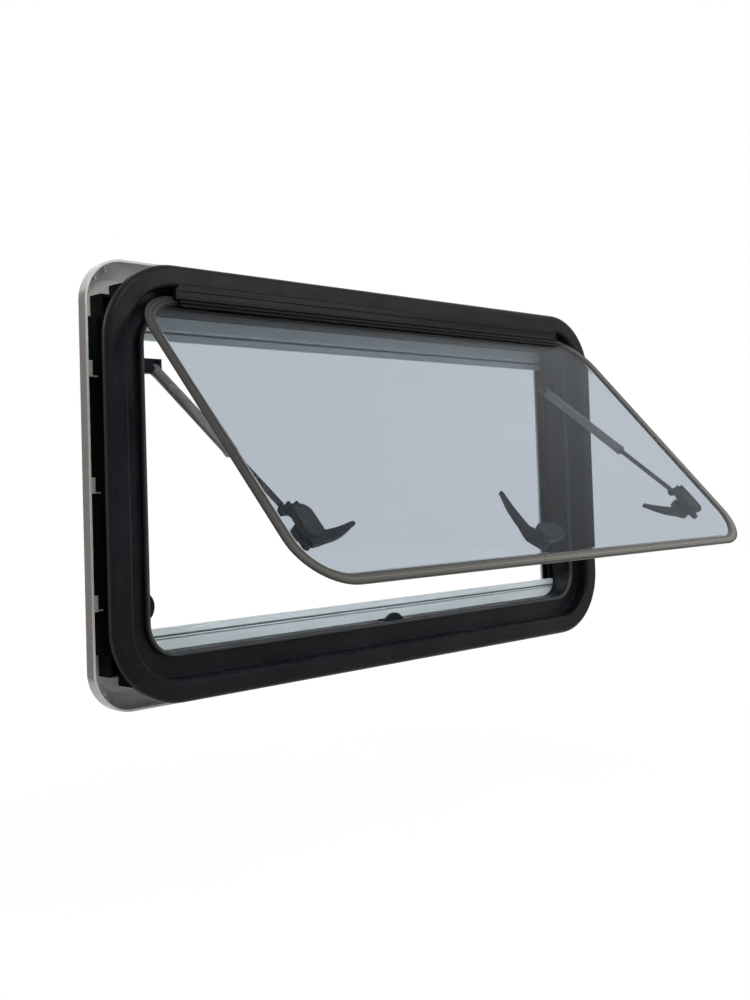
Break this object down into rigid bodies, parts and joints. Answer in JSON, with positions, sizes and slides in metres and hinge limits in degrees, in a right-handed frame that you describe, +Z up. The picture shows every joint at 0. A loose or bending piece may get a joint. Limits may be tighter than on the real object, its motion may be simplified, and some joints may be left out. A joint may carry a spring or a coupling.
{
  "type": "top-hung push-out caravan window",
  "caption": "Top-hung tinted push-out window for a vehicle wall, with telescopic stays, turn latches, inner trim, insect screen and blind.",
  "frame": {"origin": "centre of the wall cut-out, on the wall's outer face", "axes": "+X right as seen from outside, +Y from the outside into the vehicle, +Z up"},
  "size_m": [0.892, 0.3534, 0.504],
  "materials": {
    "frame_black": "satin black moulded polyurethane, fine grain",
    "gasket_rubber": "black sealing rubber",
    "rail_black": "black moulded and extruded plastic",
    "rail_aluminium": "dark anodised aluminium extrusion",
    "steel_plain": "plated steel",
    "trim_grey": "light grey moulded plastic, fine grain",
    "clip_grey": "light grey plastic",
    "cassette_white": "pale powder-coated aluminium profile",
    "roller_aluminium": "plain aluminium tube",
    "screen_mesh": "dark woven insect mesh",
    "blind_cloth": "pale blackout cloth",
    "shoe_grey": "grey slider plastic",
    "tinted_acrylic": "tinted clear acrylic, polished",
    "latch_black": "black glass-filled nylon",
    "button_grey": "dark grey plastic",
    "stay_tube_grey": "dark painted tube",
    "rod_steel": "darkened steel rod"
  },
  "bodies": {
    "frame": {"outer_frame": "frame_black", "wall_gasket": "gasket_rubber", "pane_seal": "gasket_rubber", "hinge_rail": "rail_aluminium", "hinge_end_caps": "rail_black", "hinge_screws": "steel_plain", "keeper_left": "rail_black", "keeper_right": "rail_black", "keeper_bottom": "rail_black", "stay_bracket_left": "rail_black", "stay_bracket_right": "rail_black", "stay_pins": "steel_plain", "side_rail_left": "rail_black", "side_rail_right": "rail_black", "clamp_screws": "steel_plain", "inner_trim": "trim_grey", "trim_clips": "clip_grey", "screen_cassette": "cassette_white", "blind_cassette": "cassette_white", "screen_end_caps": "rail_black", "blind_end_caps": "rail_black", "screen_spring": "steel_plain", "blind_spring": "steel_plain"},
    "sash": {"outer_pane": "tinted_acrylic", "inner_pane": "tinted_acrylic", "hinge_blade": "rail_aluminium", "latch_base_left": "latch_black", "latch_base_right": "latch_black", "latch_base_middle": "latch_black", "latch_pads": "gasket_rubber", "latch_screws": "steel_plain"},
    "latch_left": {"latch_lever_left": "latch_black"},
    "latch_right": {"latch_lever_right": "latch_black"},
    "latch_middle": {"latch_lever_middle": "latch_black"},
    "button_left": {"latch_button_left": "button_grey"},
    "button_right": {"latch_button_right": "button_grey"},
    "button_middle": {"latch_button_middle": "button_grey"},
    "stay_tube_left": {"stay_tube_left": "stay_tube_grey", "stay_collar_left": "stay_tube_grey"},
    "stay_tube_right": {"stay_tube_right": "stay_tube_grey", "stay_collar_right": "stay_tube_grey"},
    "stay_rod_left": {"stay_rod_left": "rod_steel"},
    "stay_rod_right": {"stay_rod_right": "rod_steel"},
    "screen_bar": {"screen_bar": "cassette_white", "screen_bar_shoes": "shoe_grey", "screen_web": "screen_mesh"},
    "blind_bar": {"blind_bar": "cassette_white", "blind_bar_shoes": "shoe_grey", "blind_web": "blind_cloth"},
    "screen_roller": {"screen_roller": "roller_aluminium", "screen_roll": "screen_mesh"},
    "blind_roller": {"blind_roller": "roller_aluminium", "blind_roll": "blind_cloth"}
  },
  "joints": [
    {"name": "sash_hinge", "type": "hinge", "parent": "frame", "child": "sash", "pos_m": [0, -0.0102, 0.2069], "axis": [-1, 0, 0], "range_deg": [-43, 0]},
    {"name": "stay_tube_left_pivot", "type": "hinge", "parent": "frame", "child": "stay_tube_left", "pos_m": [-0.365, 0.022, 0.13], "axis": [-1, 0, 0], "range_deg": [-52.33, 0.5]},
    {"name": "stay_rod_left_slide", "type": "slide", "parent": "stay_tube_left", "child": "stay_rod_left", "axis": [0, -0.8052, -0.593], "range_m": [-0.04775, 0.0005]},
    {"name": "stay_tube_right_pivot", "type": "hinge", "parent": "frame", "child": "stay_tube_right", "pos_m": [0.365, 0.022, 0.13], "axis": [-1, 0, 0], "range_deg": [-52.33, 0.5]},
    {"name": "stay_rod_right_slide", "type": "slide", "parent": "stay_tube_right", "child": "stay_rod_right", "axis": [0, -0.8052, -0.593], "range_m": [-0.04775, 0.0005]},
    {"name": "latch_left_turn", "type": "hinge", "parent": "sash", "child": "latch_left", "pos_m": [-0.362, -0.22963, -0.0438], "axis": [0, 0.7314, -0.682], "range_deg": [0, 50]},
    {"name": "button_left_push", "type": "slide", "parent": "latch_left", "child": "button_left", "axis": [0, -0.7314, 0.682], "range_m": [0, 0.002], "stiffness_N_per_m": 300, "springref_m": -0.0005},
    {"name": "latch_right_turn", "type": "hinge", "parent": "sash", "child": "latch_right", "pos_m": [0.362, -0.22963, -0.0438], "axis": [0, -0.7314, 0.682], "range_deg": [0, 50]},
    {"name": "button_right_push", "type": "slide", "parent": "latch_right", "child": "button_right", "axis": [0, -0.7314, 0.682], "range_m": [0, 0.002], "stiffness_N_per_m": 300, "springref_m": -0.0005},
    {"name": "latch_middle_turn", "type": "hinge", "parent": "sash", "child": "latch_middle", "pos_m": [-0.006, -0.25622, -0.07233], "axis": [0, 0.7314, -0.682], "range_deg": [0, 60]},
    {"name": "button_middle_push", "type": "slide", "parent": "latch_middle", "child": "button_middle", "axis": [0, -0.7314, 0.682], "range_m": [0, 0.002], "stiffness_N_per_m": 300, "springref_m": -0.0005},
    {"name": "screen_pull", "type": "slide", "parent": "frame", "child": "screen_bar", "axis": [0, 0, -1], "range_m": [0, 0.329], "deforming": ["screen_web"]},
    {"name": "blind_pull", "type": "slide", "parent": "frame", "child": "blind_bar", "axis": [0, 0, 1], "range_m": [0, 0.329], "deforming": ["blind_web"]},
    {"name": "screen_roller_spin", "type": "hinge", "parent": "frame", "child": "screen_roller", "pos_m": [0, 0.0419, 0.209], "axis": [-1, 0, 0], "range_deg": [-1, 2583.2]},
    {"name": "blind_roller_spin", "type": "hinge", "parent": "frame", "child": "blind_roller", "pos_m": [0, 0.0471, -0.209], "axis": [-1, 0, 0], "range_deg": [-1, 2583.2]}
  ],
  "couplings": [
    {"joint": "stay_tube_left_pivot", "follows": "sash_hinge", "ratio": 1.2053},
    {"joint": "stay_rod_left_slide", "follows": "sash_hinge", "m_per_rad": 0.062959},
    {"joint": "stay_tube_right_pivot", "follows": "sash_hinge", "ratio": 1.2053},
    {"joint": "stay_rod_right_slide", "follows": "sash_hinge", "m_per_rad": 0.062959},
    {"joint": "screen_roller_spin", "follows": "screen_pull", "rad_per_m": 136.99},
    {"joint": "blind_roller_spin", "follows": "blind_pull", "rad_per_m": 136.99}
  ]
}
